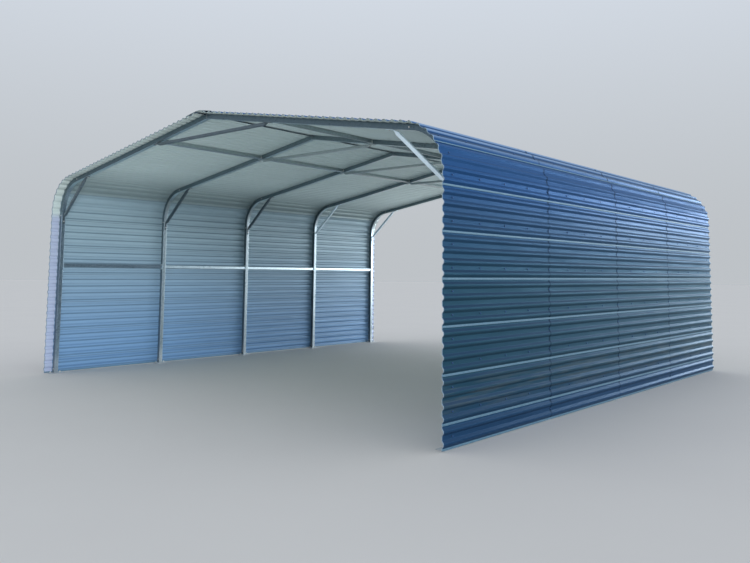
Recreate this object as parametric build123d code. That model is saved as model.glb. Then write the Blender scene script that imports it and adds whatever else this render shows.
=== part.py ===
"""All-steel carport: five square-tube hoops clad in corrugated sheet on the roof and both sides.

The ribs of the sheets run from the front to the back. They follow the hoops up each wall, round
the eave bends and over the roof to the ridge. Both gable ends are open. All sizes are in
millimetres, X across, Y from front to back, Z up from the ground.
"""

from build123d import *
import math
import os

os.makedirs("parts", exist_ok=True)

# Overall size
OVERALL_WIDTH = 6096.0
OVERALL_LENGTH = 6096.0
EAVE_HEIGHT = 2330.0
RIDGE_HEIGHT = 2830.0

# Hoops
HOOP_COUNT = 5
END_OVERHANG = 103.0
TUBE = 50.0
TUBE_WALL = 1.5
BEND_RADIUS = 400.0
SPIGOT_LENGTH = 70.0
SPIGOT_CLEARANCE = 0.3

# Foot plates, each with two anchor holes and a spigot inside the leg
FOOT_LENGTH = 170.0
FOOT_WIDTH = 90.0
FOOT_THICKNESS = 6.0
ANCHOR_RADIUS = 6.5
ANCHOR_EDGE = 25.0
FOOT_SPIGOT_HEIGHT = 80.0

# Knee braces and collar ties, small tubes with flattened ends
STRUT = 30.0
STRUT_TAB_LENGTH = 80.0
STRUT_TAB_THICKNESS = 4.0
BRACE_BELOW_BEND = 60.0
BRACE_PAST_BEND = 210.0
TIE_REACH = 900.0

# Purlins and girts, tubes with a clip plate at each end
RAIL = 40.0
RAIL_WALL = 1.5
CLIP_DEPTH = 46.0
CLIP_LENGTH = 70.0
CLIP_THICKNESS = 4.0
PURLIN_REACH = 920.0
GIRT_HEIGHT = 1330.0

# Corrugated sheet
RIB_PITCH = 86.0
RIB_DEPTH = 14.5
RIB_CREST = 16.0
RIB_VALLEY = 32.0
SHEET_THICKNESS = 0.5
SHEET_GROUND_GAP = 10.0
LAP_CLEARANCE = 0.2

# Ridge cap, over this many ribs of each slope
CAP_RIBS = 2
CAP_THICKNESS = 0.8
CAP_HEM = 9.0

# Places that follow from the sizes above
HALF_TUBE = TUBE / 2
SPIGOT = TUBE - 2 * TUBE_WALL - 2 * SPIGOT_CLEARANCE
LAP_STEP = SHEET_THICKNESS + LAP_CLEARANCE
CLADDING_DEPTH = RIB_DEPTH + SHEET_THICKNESS
HALF_SPAN = OVERALL_WIDTH / 2 - CLADDING_DEPTH - LAP_STEP - HALF_TUBE
PITCH_ANGLE = math.atan2(RIDGE_HEIGHT - EAVE_HEIGHT, HALF_SPAN)
TURN_ANGLE = math.pi / 2 - PITCH_ANGLE
TANGENT = BEND_RADIUS * math.tan(TURN_ANGLE / 2)
LEG_TOP = EAVE_HEIGHT - TANGENT
BOW_REACH = HALF_SPAN / math.cos(PITCH_ANGLE) - TANGENT
BEND_CENTRE = Vector(HALF_SPAN - BEND_RADIUS, LEG_TOP)
DOWN_SLOPE = Vector(math.cos(PITCH_ANGLE), -math.sin(PITCH_ANGLE))
HOOP_SPACING = (OVERALL_LENGTH - 2 * END_OVERHANG - TUBE) / (HOOP_COUNT - 1)
HOOP_PLACES = [HOOP_SPACING * (i - (HOOP_COUNT - 1) / 2) for i in range(HOOP_COUNT)]
RAIL_LENGTH = HOOP_SPACING - TUBE

# Runs up the outer face of a hoop, from the ground to the ridge
ARC_RADIUS = BEND_RADIUS + HALF_TUBE
ARC_END = LEG_TOP + ARC_RADIUS * TURN_ANGLE
RIDGE_RUN = ARC_END + BOW_REACH + HALF_TUBE * math.tan(PITCH_ANGLE)

# Ribs counted up from the ground; each zone of sheet laps one rib over the zone below
WALL_RIBS = int((LEG_TOP - SHEET_GROUND_GAP) // RIB_PITCH)
EAVE_FIRST = WALL_RIBS - 1
EAVE_LAST = math.ceil((ARC_END - SHEET_GROUND_GAP) / RIB_PITCH) + 1
ROOF_FIRST = EAVE_LAST - 1
ROOF_LAST = int((RIDGE_RUN - SHEET_GROUND_GAP) // RIB_PITCH)
CAP_RUN = SHEET_GROUND_GAP + (ROOF_LAST - CAP_RIBS) * RIB_PITCH
CAP_REACH = BOW_REACH + ARC_END - CAP_RUN


def save(shape, name):
    """Write one named piece to its own STEP file."""
    shape.label = name
    export_step(shape, f"parts/{name}.step")


def upright(sketch, depth, place=0.0):
    """Raise a sketch drawn in X and Z to a solid centred on a place along Y."""
    return Pos(0, place, 0) * extrude(Plane.XZ * sketch, depth / 2, both=True)


def left_side(shape):
    """Mirror a right-hand piece to the left of the carport."""
    return mirror(shape, Plane.YZ)


def on_slope(reach, off):
    """Point on the right-hand slope, a distance from the ridge and off the rafter's centre line."""
    ridge = Vector(0, RIDGE_HEIGHT + off / math.cos(PITCH_ANGLE))
    return ridge + DOWN_SLOPE * (reach + off * math.tan(PITCH_ANGLE))


def straight_bar(start, end, thickness):
    """Flat sketch of a bar between two points, centred on the line through them."""
    along = end - start
    across = Vector(-along.Y, along.X).normalized() * (thickness / 2)
    corners = [start + across, start - across, end - across, end + across]
    return Polygon(*[(p.X, p.Y) for p in corners], align=None)


def square_ring(outside, wall):
    """Flat section of a square tube."""
    return Rectangle(outside, outside) - Rectangle(outside - 2 * wall, outside - 2 * wall)


def leg(place):
    """Right-hand leg: a straight square tube that stands on its foot plate."""
    tube = extrude(square_ring(TUBE, TUBE_WALL), LEG_TOP - FOOT_THICKNESS)
    return Pos(HALF_SPAN, place, FOOT_THICKNESS) * tube


def foot_plate(place):
    """Right-hand foot plate, flush with the leg's outer face, with its spigot and anchor holes."""
    inset = (FOOT_WIDTH - TUBE) / 2
    anchor_offset = FOOT_LENGTH / 2 - ANCHOR_EDGE
    outline = Pos(-inset, 0) * Rectangle(FOOT_WIDTH, FOOT_LENGTH)
    holes = [Pos(0, side * anchor_offset) * Circle(ANCHOR_RADIUS) for side in (-1, 1)]
    plate = extrude(outline - holes, FOOT_THICKNESS)
    spigot = Pos(0, 0, FOOT_THICKNESS) * extrude(square_ring(SPIGOT, TUBE_WALL), FOOT_SPIGOT_HEIGHT)
    return Pos(HALF_SPAN, place, 0) * (plate + spigot)


def bend_path():
    """Flat sketch of the right-hand eave bend's arc."""
    span = 3 * BEND_RADIUS
    turned = (span * math.cos(TURN_ANGLE), span * math.sin(TURN_ANGLE))
    wedge = Polygon((0, 0), (span, 0), (span, span), turned, align=None)
    ring = Circle(BEND_RADIUS + HALF_TUBE) - Circle(BEND_RADIUS - HALF_TUBE)
    return Pos(BEND_CENTRE.X, BEND_CENTRE.Y) * (ring & wedge)


def eave_bend(place):
    """Right-hand eave bend: an arc of tube with a reduced, hollow spigot at each end."""
    hollow = SPIGOT - 2 * TUBE_WALL
    leg_joint = Vector(HALF_SPAN, LEG_TOP)
    bow_joint = on_slope(BOW_REACH, 0)
    leg_end = leg_joint - Vector(0, SPIGOT_LENGTH)
    bow_end = bow_joint - DOWN_SLOPE * SPIGOT_LENGTH
    body = upright(bend_path(), TUBE, place)
    for joint, end in ((leg_joint, leg_end), (bow_joint, bow_end)):
        spigot = upright(straight_bar(joint, end, SPIGOT), SPIGOT, place)
        body += spigot - upright(straight_bar(joint, end, hollow), hollow, place)
    return body


def bow_sketch(half_depth, reach):
    """Flat sketch of both roof arms, mitred at the ridge."""
    right = [on_slope(reach, half_depth), on_slope(reach, -half_depth)]
    apex_top = RIDGE_HEIGHT + half_depth / math.cos(PITCH_ANGLE)
    apex_bottom = RIDGE_HEIGHT - half_depth / math.cos(PITCH_ANGLE)
    corners = [(0, apex_top)] + [(p.X, p.Y) for p in right] + [(0, apex_bottom)]
    corners += [(-p.X, p.Y) for p in reversed(right)]
    return Polygon(*corners, align=None)


def roof_bow(place):
    """Roof piece of one hoop: two straight arms of tube welded at the ridge."""
    bore = TUBE - 2 * TUBE_WALL
    arms = upright(bow_sketch(HALF_TUBE, BOW_REACH), TUBE, place)
    return arms - upright(bow_sketch(bore / 2, BOW_REACH + TUBE), bore, place)


def under_roof():
    """Flat sketch of the space inside the legs and below the roof arms."""
    face = HALF_SPAN - HALF_TUBE
    ridge = RIDGE_HEIGHT - HALF_TUBE / math.cos(PITCH_ANGLE)
    corner = ridge - face * math.tan(PITCH_ANGLE)
    return Polygon((-face, 0), (face, 0), (face, corner), (0, ridge), (-face, corner), align=None)


def slope_tab(reach):
    """Flattened strut end that lies against the underside of the right-hand roof arm."""
    seat = -HALF_TUBE - STRUT_TAB_THICKNESS / 2
    return straight_bar(on_slope(reach, seat), on_slope(reach - STRUT_TAB_LENGTH, seat), STRUT_TAB_THICKNESS)


def knee_brace(place):
    """Right-hand knee brace from the inner face of the leg to the underside of the roof arm."""
    low = Vector(HALF_SPAN - HALF_TUBE, LEG_TOP - BRACE_BELOW_BEND)
    high = on_slope(BOW_REACH - BRACE_PAST_BEND, -HALF_TUBE)
    overshoot = (high - low).normalized() * STRUT
    bar = straight_bar(low - overshoot, high + overshoot, STRUT) & under_roof()
    tab_top = low - Vector(STRUT_TAB_THICKNESS / 2, 0)
    leg_tab = straight_bar(tab_top, tab_top - Vector(0, STRUT_TAB_LENGTH), STRUT_TAB_THICKNESS)
    return upright(bar + leg_tab + slope_tab(BOW_REACH - BRACE_PAST_BEND), STRUT, place)


def collar_tie(place):
    """Level tie between the two roof arms of one hoop, just below the ridge."""
    end_reach = TIE_REACH / math.cos(PITCH_ANGLE)
    bar_end = on_slope(end_reach, -HALF_TUBE)
    level = bar_end.Y - STRUT / 2
    bar = straight_bar(Vector(-bar_end.X, level), Vector(bar_end.X, level), STRUT)
    neck_top = on_slope(end_reach + STRUT, -HALF_TUBE)
    neck_bottom = on_slope(end_reach + STRUT, -HALF_TUBE - STRUT_TAB_THICKNESS)
    neck_corners = [bar_end, bar_end - Vector(0, STRUT), neck_bottom, neck_top]
    neck = Polygon(*[(p.X, p.Y) for p in neck_corners], align=None)
    ends = slope_tab(end_reach + STRUT_TAB_LENGTH) + neck
    return upright(bar + ends + mirror(ends, Plane.YZ), STRUT, place)


def rail(middle):
    """Square rail along Y below the plane Z = 0, with a clip plate at each end."""
    section = Pos(0, -RAIL / 2) * square_ring(RAIL, RAIL_WALL)
    clip = Pos(0, -CLIP_DEPTH / 2) * Rectangle(CLIP_LENGTH, CLIP_DEPTH)
    body = upright(section, RAIL_LENGTH - 2 * CLIP_THICKNESS, middle)
    for end in (-1, 1):
        body += upright(clip, CLIP_THICKNESS, middle + end * (RAIL_LENGTH - CLIP_THICKNESS) / 2)
    return body


def rails_between_hoops(position, turn):
    """One rail in every bay, its outer face in line with the outer faces of the hoops."""
    middles = [(a + b) / 2 for a, b in zip(HOOP_PLACES, HOOP_PLACES[1:])]
    return [Pos(position.X, 0, position.Y) * Rot(0, turn, 0) * rail(m) for m in middles]


def roof_purlins():
    """Right-hand roof purlin, one length in each bay."""
    seat = on_slope(PURLIN_REACH / math.cos(PITCH_ANGLE), HALF_TUBE)
    return rails_between_hoops(seat, math.degrees(PITCH_ANGLE))


def wall_girts():
    """Right-hand wall girt, one length in each bay."""
    return rails_between_hoops(Vector(HALF_SPAN + HALF_TUBE, GIRT_HEIGHT), 90)


def on_hoop(run, off):
    """Point outside the hoop, a run up from the ground along its outer face and off that face."""
    if run <= LEG_TOP:
        return (HALF_SPAN + HALF_TUBE + off, run)
    if run < ARC_END:
        turned = (run - LEG_TOP) / ARC_RADIUS
        out = Vector(math.cos(turned), math.sin(turned)) * (ARC_RADIUS + off)
        return tuple(BEND_CENTRE + out)[:2]
    return tuple(on_slope(BOW_REACH - (run - ARC_END), HALF_TUBE + off))[:2]


def cladding(first_rib, last_rib, layer):
    """Right-hand corrugated sheet over some ribs, on a layer that counts the laps below it."""
    rib_count = last_rib - first_rib
    slope_run = (RIB_PITCH - RIB_CREST - RIB_VALLEY) / 2
    seat = layer * LAP_STEP
    wave = [(0, 0)]
    for rib in range(rib_count):
        start = rib * RIB_PITCH
        wave.append((start + RIB_VALLEY / 2, 0))
        wave.append((start + RIB_VALLEY / 2 + slope_run, RIB_DEPTH))
        wave.append((start + RIB_VALLEY / 2 + slope_run + RIB_CREST, RIB_DEPTH))
        wave.append((start + RIB_PITCH - RIB_VALLEY / 2, 0))
    wave.append((rib_count * RIB_PITCH, 0))
    foot = SHEET_GROUND_GAP + first_rib * RIB_PITCH
    inner = [on_hoop(foot + run, seat + rise) for run, rise in wave]
    outer = [on_hoop(foot + run, seat + rise + SHEET_THICKNESS) for run, rise in reversed(wave)]
    outline = Polygon(*(inner + outer), align=None)
    return upright(outline, OVERALL_LENGTH)


def ridge_cap():
    """Folded cap over the upper edges of both roof sheets, with a hem at each long edge."""
    seat = HALF_TUBE + 3 * LAP_STEP + RIB_DEPTH
    top = seat + CAP_THICKNESS
    inner_reach = CAP_REACH - CAP_THICKNESS
    right = [
        on_slope(CAP_REACH, top),
        on_slope(CAP_REACH, seat - CAP_HEM),
        on_slope(inner_reach, seat - CAP_HEM),
        on_slope(inner_reach, seat),
    ]
    apex_top = RIDGE_HEIGHT + top / math.cos(PITCH_ANGLE)
    apex_bottom = RIDGE_HEIGHT + seat / math.cos(PITCH_ANGLE)
    corners = [(0, apex_top)] + [(p.X, p.Y) for p in right] + [(0, apex_bottom)]
    corners += [(-p.X, p.Y) for p in reversed(right)]
    return upright(Polygon(*corners, align=None), OVERALL_LENGTH)


def save_pair(shape, name):
    """Write a right-hand piece and its mirror image on the left."""
    save(shape, name.replace("SIDE", "right"))
    save(left_side(shape), name.replace("SIDE", "left"))


def save_group_pair(solids, name):
    """Write several separate right-hand solids as one piece, and their mirror images."""
    save(Compound(children=solids), name.replace("SIDE", "right"))
    save(Compound(children=[left_side(solid) for solid in solids]), name.replace("SIDE", "left"))


def main():
    for number, place in enumerate(HOOP_PLACES, start=1):
        save_pair(leg(place), f"leg_SIDE_{number}")
        save_pair(eave_bend(place), f"eave_bend_SIDE_{number}")
        save(roof_bow(place), f"roof_bow_{number}")
        save(collar_tie(place), f"collar_tie_{number}")
    save_group_pair([foot_plate(place) for place in HOOP_PLACES], "foot_plates_SIDE")
    save_group_pair([knee_brace(place) for place in HOOP_PLACES], "knee_braces_SIDE")
    save_group_pair(roof_purlins(), "roof_purlin_SIDE")
    save_group_pair(wall_girts(), "wall_girt_SIDE")
    save_pair(cladding(0, WALL_RIBS, 0), "wall_cladding_SIDE")
    save_pair(cladding(EAVE_FIRST, EAVE_LAST, 1), "eave_cladding_SIDE")
    save_pair(cladding(ROOF_FIRST, ROOF_LAST, 2), "roof_cladding_SIDE")
    save(ridge_cap(), "ridge_cap")
    print("ribs up the wall", WALL_RIBS, "to the eave lap", ROOF_FIRST, "to the ridge", ROOF_LAST)
    print("roof pitch", round(math.degrees(PITCH_ANGLE), 2), "degrees, leg top", round(LEG_TOP, 1))


main()
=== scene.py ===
# %% [markdown]
# # A steel carport, dressed for the camera
#
# The real carport is five galvanised hoops in a row, clad in corrugated steel on the roof and on
# both sides. Both gable ends are open. The CAD model has every piece in its place, so this lesson
# makes no shapes up. It reads where each piece is, builds a finer one there, and gives it a finish.
#
# Loading the packed model comes first, because every later cell measures from it.

# %% Load the packed carport
import math
import random

import bmesh
import bpy
from mathutils import Matrix, Vector


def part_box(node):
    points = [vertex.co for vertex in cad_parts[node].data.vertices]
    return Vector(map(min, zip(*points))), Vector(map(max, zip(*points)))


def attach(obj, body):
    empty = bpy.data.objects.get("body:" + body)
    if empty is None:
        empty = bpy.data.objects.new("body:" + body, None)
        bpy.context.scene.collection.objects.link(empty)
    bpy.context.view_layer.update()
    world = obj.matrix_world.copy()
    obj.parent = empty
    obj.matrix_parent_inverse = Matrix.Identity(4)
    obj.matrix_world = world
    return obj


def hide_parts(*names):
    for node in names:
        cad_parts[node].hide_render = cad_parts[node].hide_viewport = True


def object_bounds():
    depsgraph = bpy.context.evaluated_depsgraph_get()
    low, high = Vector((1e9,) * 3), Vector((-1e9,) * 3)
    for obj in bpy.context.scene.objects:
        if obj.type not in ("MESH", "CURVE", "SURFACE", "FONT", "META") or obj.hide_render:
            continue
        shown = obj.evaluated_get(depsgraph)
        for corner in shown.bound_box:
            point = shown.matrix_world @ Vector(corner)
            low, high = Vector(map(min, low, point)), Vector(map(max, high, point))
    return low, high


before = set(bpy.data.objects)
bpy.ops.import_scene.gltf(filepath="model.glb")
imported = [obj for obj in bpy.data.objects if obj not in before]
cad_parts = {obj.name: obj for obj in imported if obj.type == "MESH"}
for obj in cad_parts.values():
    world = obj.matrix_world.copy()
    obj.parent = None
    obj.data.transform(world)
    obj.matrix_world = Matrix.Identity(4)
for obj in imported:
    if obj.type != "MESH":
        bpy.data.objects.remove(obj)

cad_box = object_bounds()
scene = bpy.context.scene


def rounded(box):
    """Both corners of a box, short enough to print."""
    return [[round(number, 4) for number in corner] for corner in box]


print("CAD box in metres:", rounded(cad_box))
print("CAD nodes:", len(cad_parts))

# %% [markdown]
# ## Reading the hoop
#
# All five hoops have one shape: a leg, an eave bend and half a roof bow on each side. The boxes of
# a leg and a bow give the tube, the span and the heights. The roof's pitch isn't in any box, but it
# follows from them: a guess gives the eave's height, the eave gives a better pitch, and a few rounds
# settle it. Working it out this way keeps the finer pieces true to the CAD.

# %% Measure one hoop
SIDES = (1, -1)
SIDE_NAMES = {1: "right", -1: "left"}
HOOP_NUMBERS = range(1, 6)
BEND_RADIUS = 0.400
PITCH_GUESS = math.radians(10)
PITCH_ROUNDS = 30

leg_low, leg_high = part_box("leg_right_1")
bow_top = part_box("roof_bow_1")[1].z
TUBE = leg_high.x - leg_low.x
HALF_TUBE = TUBE / 2
HALF_SPAN = leg_high.x - HALF_TUBE
FOOT_TOP = leg_low.z
LEG_TOP = leg_high.z
FRONT = cad_box[0].y
BACK = cad_box[1].y
HOOPS = [sum(corner.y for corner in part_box(f"leg_right_{n}")) / 2 for n in HOOP_NUMBERS]


def settle_pitch():
    """The roof's pitch and the ridge's height, from a guess that every round makes better."""
    pitch = PITCH_GUESS
    for _ in range(PITCH_ROUNDS):
        eave = LEG_TOP + BEND_RADIUS * math.tan((math.pi / 2 - pitch) / 2)
        ridge = bow_top - HALF_TUBE / math.cos(pitch)
        pitch = math.atan2(ridge - eave, HALF_SPAN)
    return pitch, ridge


PITCH, RIDGE = settle_pitch()
TURN = math.pi / 2 - PITCH
BOW_REACH = HALF_SPAN / math.cos(PITCH) - BEND_RADIUS * math.tan(TURN / 2)
print("tube", round(TUBE, 4), "leg top", round(LEG_TOP, 4), "ridge", round(RIDGE, 4))
print("roof pitch in degrees", round(math.degrees(PITCH), 2), "hoops at", [round(y, 3) for y in HOOPS])

# %% [markdown]
# ## Walking round the hoop
#
# Sheets, screws and rails all sit on the hoop's outer face, so it helps to have one way of saying
# where that is. A run is the distance walked up that face from the ground. A rise is the height
# above it. The same two numbers then place a rib on the wall, round the bend or on the slope.

# %% Turn a run and a rise into a place
WALL_FACE = HALF_SPAN + HALF_TUBE
ARC_RADIUS = BEND_RADIUS + HALF_TUBE
ARC_END = LEG_TOP + ARC_RADIUS * TURN


def on_slope(reach, rise):
    """X and Z on the right-hand slope: down from the ridge, and off the bow's centre line."""
    across = reach * math.cos(PITCH) + rise * math.sin(PITCH)
    height = RIDGE - reach * math.sin(PITCH) + rise * math.cos(PITCH)
    return across, height


def on_hoop(run, rise):
    """X and Z off the hoop's outer face, a run up from the ground."""
    if run <= LEG_TOP:
        return WALL_FACE + rise, run
    if run < ARC_END:
        turned_by = (run - LEG_TOP) / ARC_RADIUS
        radius = ARC_RADIUS + rise
        across = HALF_SPAN - BEND_RADIUS + radius * math.cos(turned_by)
        return across, LEG_TOP + radius * math.sin(turned_by)
    return on_slope(BOW_REACH - (run - ARC_END), HALF_TUBE + rise)


def out_of_hoop(run):
    """Direction away from the hoop's outer face, at a run up from the ground."""
    near, far = on_hoop(run, 0), on_hoop(run, 1)
    return Vector((far[0] - near[0], 0, far[1] - near[1]))


print("the bend runs from", round(LEG_TOP, 3), "to", round(ARC_END, 3), "m")

# %% [markdown]
# ## Camera
#
# The carport is seen from outside its front right corner, from about chest height. That shows the
# outside of one wall and the inside of the other in a single view. The place, the aim and the lens
# come from fitting the model's corners to the view, so the numbers are written down as they came.
# The left-hand legs lean a little outward as they come down. A camera that looks slightly up sees
# them so, and a small lens shift then brings the carport back to the middle of the picture.

# %% Set up the camera
EYE = Vector((6.191, -7.333, 1.247))
AIM_TURN = math.radians(39.87)
AIM_TILT = math.radians(5.28)
AIM_ROLL = math.radians(0.44)
LENS = 35.33
LENS_SHIFT = (-0.03, -0.10)
SEES_TO = 500

camera = bpy.data.objects.new("carport_camera", bpy.data.cameras.new("carport_camera"))
camera.data.lens = LENS
camera.data.shift_x, camera.data.shift_y = LENS_SHIFT
camera.data.clip_end = SEES_TO
camera.location = EYE
level = Matrix.Rotation(AIM_TURN, 4, "Z") @ Matrix.Rotation(math.pi / 2 + AIM_TILT, 4, "X")
camera.rotation_euler = (level @ Matrix.Rotation(AIM_ROLL, 4, "Z")).to_euler()
scene.collection.objects.link(camera)
scene.camera = camera
print("camera looks", [round(number, 3) for number in camera.rotation_euler])

# %% [markdown]
# ## Shader sums that read like sums
#
# A finish is a net of nodes. Written out node by node it is long and hard to follow, so one small
# class wraps a socket and lets Python's own signs add the Math nodes. A mask can then be written as
# 1 - mask. A second class holds the material and has one method that adds any other node.

# %% A socket that can be added and multiplied
class Wire:
    """What leaves a node. Sums with it add Math nodes and give the wire that leaves those."""

    def __init__(self, finish, socket):
        self.finish = finish
        self.socket = socket

    def maths(self, operation, *others):
        """Add a Math node whose first term is this wire."""
        return self.finish.maths(operation, self, *others)

    def __add__(self, other):
        return self.maths("ADD", other)

    def __sub__(self, other):
        return self.maths("SUBTRACT", other)

    def __rsub__(self, other):
        return self.finish.maths("SUBTRACT", other, self)

    def __mul__(self, other):
        return self.maths("MULTIPLY", other)

    def __truediv__(self, other):
        return self.maths("DIVIDE", other)

    def __abs__(self):
        return self.maths("ABSOLUTE")

    __radd__ = __add__
    __rmul__ = __mul__


print("a wire knows + - * / and abs()")

# %% [markdown]
# ## The helpers that every finish uses
#
# Most finishes need the same few things: where a point is, which way its face looks, a soft cloud
# of noise, a range of values turned into a share, and one colour blended into another. Each is a
# short method here, so a finish further down reads like a recipe. The Mix node has sockets of the
# same name for numbers, vectors and colours, so its colour sockets go by their place in the list.

# %% A material and the one way to add a node to it
MIX_SHARE, MIX_FIRST, MIX_SECOND = 0, 6, 7
MIX_RESULT = 2


class Finish:
    """A node tree that is being made into the finish of a piece."""

    def __init__(self, owner):
        owner.use_nodes = True
        self.owner = owner
        self.tree = owner.node_tree
        self.tree.nodes.clear()

    def node(self, kind, settings, sockets):
        """Add a node. Its settings go first, then a number, a colour or a wire for each socket."""
        made = self.tree.nodes.new(kind)
        for setting, value in settings.items():
            setattr(made, setting, value)
        for socket, value in sockets.items():
            if isinstance(value, Wire):
                self.tree.links.new(value.socket, made.inputs[socket])
            else:
                made.inputs[socket].default_value = value
        return made

    def wire(self, kind, settings, sockets, output=0):
        """Add a node and give the wire that leaves it."""
        return Wire(self, self.node(kind, settings, sockets).outputs[output])

    def maths(self, operation, *terms):
        return self.wire("ShaderNodeMath", {"operation": operation}, dict(enumerate(terms)))

    def part(self, vector, letter):
        """One of the three numbers in a vector."""
        return self.wire("ShaderNodeSeparateXYZ", {}, {0: vector}, letter)

    def place(self, stretch=(1, 1, 1)):
        """Where a point is on the carport, in metres, with each direction stretched."""
        metres = self.wire("ShaderNodeTexCoord", {}, {}, "Object")
        return self.wire("ShaderNodeVectorMath", {"operation": "MULTIPLY"}, {0: metres, 1: stretch})

    def axis(self, letter):
        return self.part(self.place(), letter)

    def facing(self, letter):
        """How far a face looks along an axis, from -1 to 1."""
        return self.part(self.wire("ShaderNodeNewGeometry", {}, {}, "Normal"), letter)

    def cloud(self, size, detail=3.0, stretch=(1, 1, 1)):
        """Soft noise from 0 to 1, with blotches of about this size in metres."""
        sockets = {"Vector": self.place(stretch), "Scale": 1 / size, "Detail": detail}
        return self.wire("ShaderNodeTexNoise", {}, sockets)

    def ramp(self, value, low, high, low_gives=0.0, high_gives=1.0):
        """Turn a range of values into another, with soft ends."""
        names = ("Value", "From Min", "From Max", "To Min", "To Max")
        sockets = dict(zip(names, (value, low, high, low_gives, high_gives)))
        return self.wire("ShaderNodeMapRange", {"interpolation_type": "SMOOTHSTEP"}, sockets)

    def fade(self, value, low, high):
        """1 below a range of values, and 0 above it."""
        return self.ramp(value, low, high, 1.0, 0.0)

    def band(self, value, rises, falls):
        """0, then 1 between two ranges of values, then 0 again."""
        return self.ramp(value, *rises) * self.fade(value, *falls)

    def blend(self, share, first, second):
        """A colour part of the way from the first to the second."""
        sockets = {MIX_SHARE: share, MIX_FIRST: first, MIX_SECOND: second}
        return self.wire("ShaderNodeMix", {"data_type": "RGBA"}, sockets, MIX_RESULT)

    def relief(self, height, depth, onto=None):
        """A surface direction that follows small bumps, with their depth in metres."""
        sockets = {"Height": height, "Distance": depth}
        if onto:
            sockets["Normal"] = onto
        return self.wire("ShaderNodeBump", {}, sockets)

    def surface(self, sockets):
        """Finish with the shader that has these sockets, and return the material."""
        shader = self.wire("ShaderNodeBsdfPrincipled", {}, sockets)
        self.node("ShaderNodeOutputMaterial", {}, {"Surface": shader})
        return self.owner


def new_finish(name):
    return Finish(bpy.data.materials.new(name))


print("a finish can", [name for name in vars(Finish) if not name.startswith("_")])

# %% [markdown]
# ## Floor
#
# A plain pale floor shows where the carport stands without drawing the eye. It is one flat disc,
# so large that its edge passes for the horizon. A soft cloud blends two tones that are close
# together, which keeps it from looking like paper.

# %% Lay the floor
FLOOR_RADIUS = 120
FLOOR_SIDES = 96
FLOOR_TONE = (0.73, 0.695, 0.645, 1)
FLOOR_WORN = (0.69, 0.655, 0.61, 1)
FLOOR_BLOTCH = 1.5
FLOOR_ROUGHNESS = 0.9


def round_angles(sides):
    """Even steps round a full circle."""
    return [2 * math.pi * side / sides for side in range(sides)]


def lay_floor():
    angles = round_angles(FLOOR_SIDES)
    rim = [(FLOOR_RADIUS * math.cos(a), FLOOR_RADIUS * math.sin(a), 0) for a in angles]
    mesh = bpy.data.meshes.new("studio_floor")
    mesh.from_pydata(rim, [], [tuple(range(FLOOR_SIDES))])
    floor = bpy.data.objects.new("studio_floor", mesh)
    scene.collection.objects.link(floor)
    paint = new_finish("pale floor")
    tone = paint.blend(paint.cloud(FLOOR_BLOTCH), FLOOR_TONE, FLOOR_WORN)
    mesh.materials.append(paint.surface({"Base Color": tone, "Roughness": FLOOR_ROUGHNESS}))
    return floor


floor = lay_floor()
print("floor radius", FLOOR_RADIUS)

# %% [markdown]
# ## Sky
#
# Coated steel shows what it mirrors, so the world around it matters as much as the lamps. An even
# soft sky, a little brighter overhead, gives it something plain to mirror. The direction that a
# ray leaves in has its height in Z, and that alone blends the tone at the horizon into the top's.

# %% Light the sky
SKY_TOP = (0.80, 0.88, 1.0, 1)
SKY_EDGE = (0.54, 0.57, 0.60, 1)
SKY_STRENGTH = 0.95
TOP_TONE_FROM = 0.7


def light_sky():
    world = bpy.data.worlds.new("soft sky")
    scene.world = world
    sky = Finish(world)
    height = sky.part(sky.wire("ShaderNodeTexCoord", {}, {}, "Generated"), "Z")
    tone = sky.blend(sky.ramp(height, 0.0, TOP_TONE_FROM), SKY_EDGE, SKY_TOP)
    glow = sky.wire("ShaderNodeBackground", {}, {"Color": tone, "Strength": SKY_STRENGTH})
    sky.node("ShaderNodeOutputWorld", {}, {"Surface": glow})


light_sky()
scene.view_settings.view_transform = "Standard"
print("sky strength", SKY_STRENGTH)

# %% [markdown]
# ## Lamps
#
# Five large flat lamps add what the sky can't. The key lamp stands off the front right corner,
# where it lights the outer wall and reaches in through the open front. One behind brightens the
# inside of the far wall. A long low panel gives the outer wall its sheen toward the back, and a
# small one touches the far legs. The last lies on the ground and lifts the underside of the roof.
# The first four would also leave bright patches on the floor, so light linking keeps them off it.

# %% Hang the lamps
def hang_lamp(name, place, target, size, power, tone):
    """A large flat lamp at a place, turned to a target, with its width and height in metres."""
    lamp = bpy.data.lights.new(name, "AREA")
    lamp.shape = "RECTANGLE"
    lamp.size, lamp.size_y = size
    lamp.energy = power
    lamp.color = tone
    hung = bpy.data.objects.new(name, lamp)
    hung.visible_camera = False
    hung.location = place
    hung.rotation_euler = (Vector(place) - Vector(target)).to_track_quat("Z", "Y").to_euler()
    scene.collection.objects.link(hung)
    return hung


def keep_off_floor(lamps):
    """Let these lamps light everything but the floor."""
    shaded = bpy.data.collections.new("shaded floor")
    shaded.objects.link(floor)
    shaded.collection_objects[0].light_linking.link_state = "EXCLUDE"
    for lamp in lamps:
        lamp.light_linking.receiver_collection = shaded


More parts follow.
